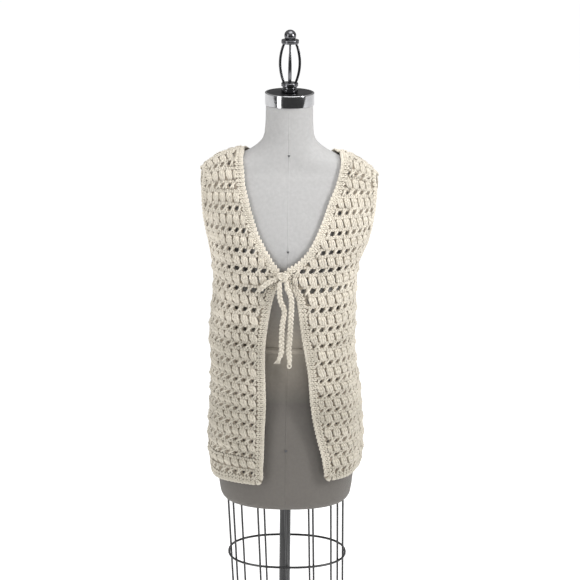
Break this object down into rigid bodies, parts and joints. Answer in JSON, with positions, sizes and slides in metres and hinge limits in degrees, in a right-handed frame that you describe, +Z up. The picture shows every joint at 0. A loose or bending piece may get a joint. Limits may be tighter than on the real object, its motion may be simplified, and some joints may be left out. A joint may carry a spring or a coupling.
{
  "type": "crochet vest on a dress form",
  "caption": "Open-front sleeveless crochet vest in cream wool, tied at the bust, worn by a limbless linen dress form on a round-based stand.",
  "frame": {"origin": "floor level, middle of the round base", "axes": "+Z up through the pole and neck, -Y the front, +X the wearer's left"},
  "size_m": [0.44, 0.44, 1.6131],
  "materials": {
    "wool": "thick crocheted wool, matt and slightly hairy",
    "linen": "plain linen pulled tight over the form",
    "chrome": "polished side, brushed top",
    "dark_steel": "polished dark nickel",
    "black_enamel": "satin black enamel"
  },
  "bodies": {
    "root": {"border_arm_left": "wool", "border_arm_right": "wool", "border_front_left": "wool", "border_front_right": "wool", "border_hem": "wool", "border_neck_back": "wool", "cage_hoop_1": "black_enamel", "cage_hoop_2": "black_enamel", "cage_wire_01": "black_enamel", "cage_wire_02": "black_enamel", "cage_wire_03": "black_enamel", "cage_wire_04": "black_enamel", "cage_wire_05": "black_enamel", "cage_wire_06": "black_enamel", "cage_wire_07": "black_enamel", "cage_wire_08": "black_enamel", "cage_wire_09": "black_enamel", "cage_wire_10": "black_enamel", "cage_wire_11": "black_enamel", "cage_wire_12": "black_enamel", "finial_arm_1": "dark_steel", "finial_arm_2": "dark_steel", "finial_arm_3": "dark_steel", "finial_arm_4": "dark_steel", "finial_ball": "dark_steel", "finial_collar": "dark_steel", "finial_hinge_block": "dark_steel", "form_neck_cap": "chrome", "form_torso": "linen", "stand_base": "black_enamel", "stand_pole": "black_enamel", "stand_socket": "black_enamel", "tie_end_long": "wool", "tie_end_short": "wool", "tie_knot": "wool", "tie_strap": "wool", "vest_back": "wool", "vest_front_left": "wool", "vest_front_right": "wool"}
  },
  "joints": []
}
